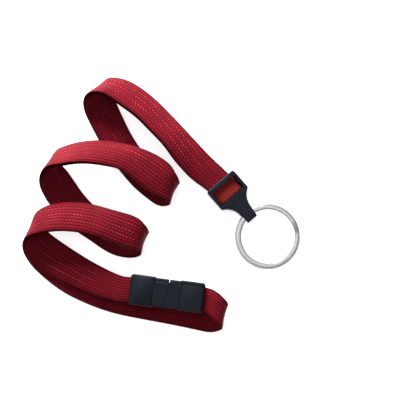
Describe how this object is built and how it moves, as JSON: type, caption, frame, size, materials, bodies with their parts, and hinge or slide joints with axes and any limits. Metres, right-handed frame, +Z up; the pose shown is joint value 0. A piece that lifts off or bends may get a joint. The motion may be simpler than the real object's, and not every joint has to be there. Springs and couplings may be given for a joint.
{
  "type": "neck lanyard with split ring",
  "caption": "Narrow braided neck strap, doubled and lying in a flat spiral, with a breakaway clasp, a crimp fitting and a split ring for keys or a badge.",
  "frame": {"origin": "on the table, under the middle of the box round the fitting, ring and clasp, without the straps", "axes": "+Z up off the table; +X from the clasp's side towards the ring; +Y from the clasp towards the fitting"},
  "size_m": [0.0948, 0.0853, 0.0129],
  "materials": {
    "strap": "braided polyester tube, deep red",
    "clasp_plastic": "moulded acetal, black",
    "fitting_plastic": "moulded plastic, charcoal",
    "ring_steel": "nickel-plated spring steel"
  },
  "bodies": {
    "straps": {"strap_short": "strap", "strap_long": "strap", "fitting_body": "fitting_plastic", "fitting_clamp": "fitting_plastic", "clasp_socket": "clasp_plastic", "clasp_socket_lid": "clasp_plastic"},
    "plug_half": {"clasp_plug": "clasp_plastic", "clasp_plug_lid": "clasp_plastic", "strap_long_end": "strap"},
    "key_ring": {"split_ring": "ring_steel"}
  },
  "joints": [
    {"name": "clasp_release", "type": "slide", "parent": "straps", "child": "plug_half", "axis": [0.9917, -0.1288, 0], "range_m": [0, 0.007]},
    {"name": "ring_swing", "type": "hinge", "parent": "straps", "child": "key_ring", "pos_m": [0.01142, 0.00947, 0.0023], "axis": [-0.7547, -0.6561, 0], "range_deg": [0, 150]}
  ]
}
